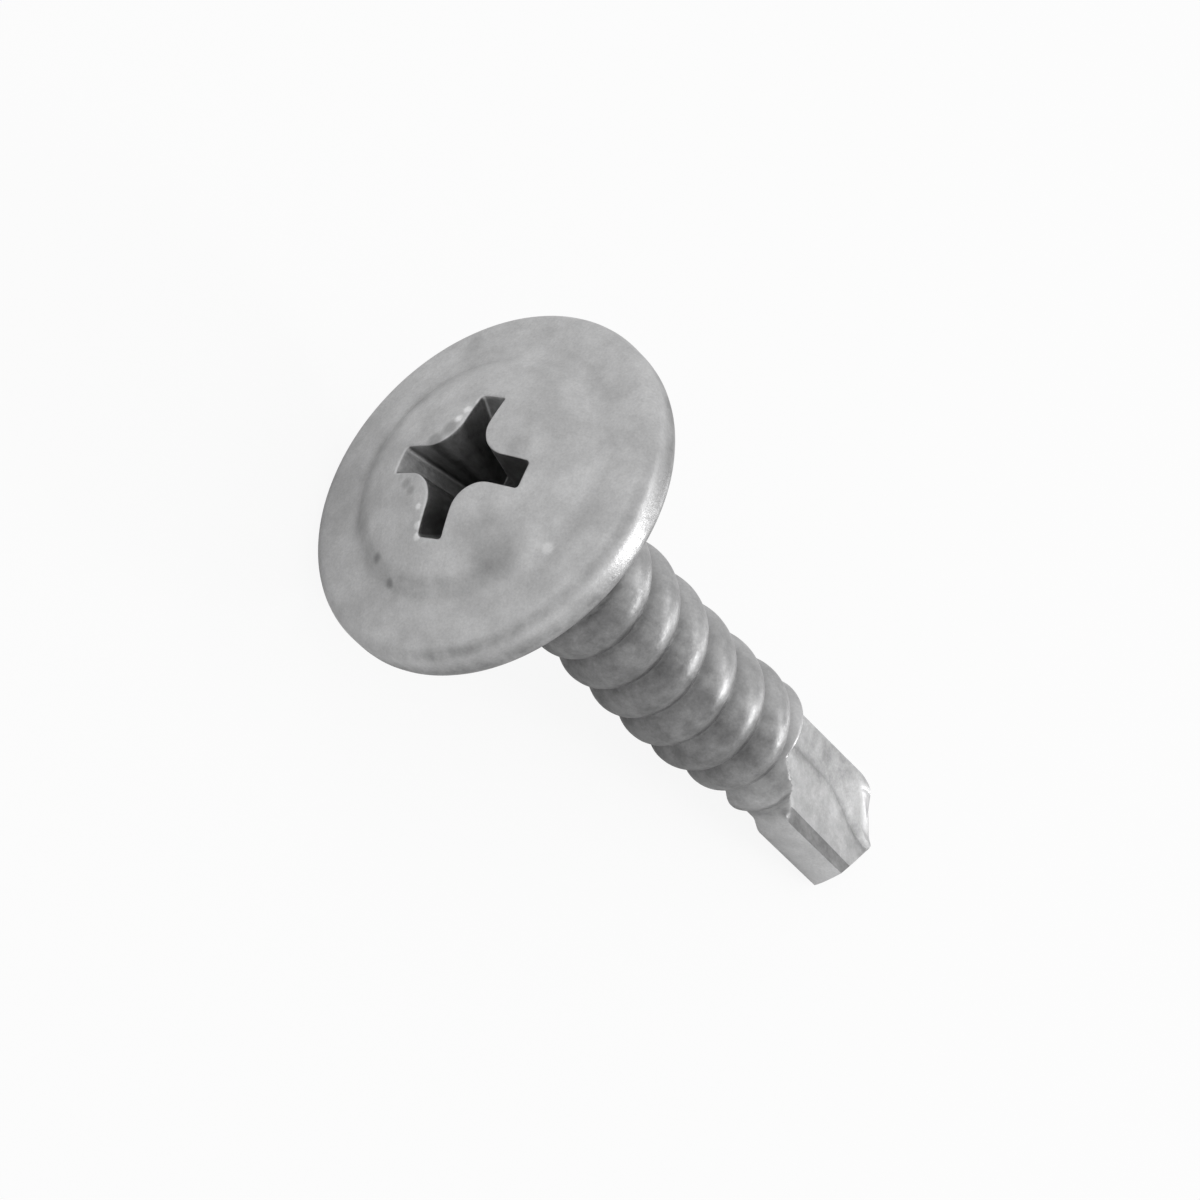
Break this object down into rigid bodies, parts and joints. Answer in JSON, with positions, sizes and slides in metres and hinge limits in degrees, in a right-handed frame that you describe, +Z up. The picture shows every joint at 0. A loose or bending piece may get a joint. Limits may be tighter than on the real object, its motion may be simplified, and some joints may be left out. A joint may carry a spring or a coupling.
{
  "type": "wafer head self-drilling screw",
  "caption": "Short zinc-plated self-tapping screw with a broad low wafer head, cross recess, coarse right-hand thread and a fluted drill point.",
  "frame": {"origin": "centre of the footprint's bounding box, on the floor that the screw rests on", "axes": "+X from the head to the drill point, +Z up, the screw lying on the rim of its head and on its thread near the point"},
  "size_m": [0.0216, 0.0106, 0.0105],
  "materials": {
    "zinc": "dull bright zinc plating on cold-headed steel, finely mottled, worn bright on the thread crests"
  },
  "bodies": {
    "root": {"screw": "zinc"}
  },
  "joints": []
}
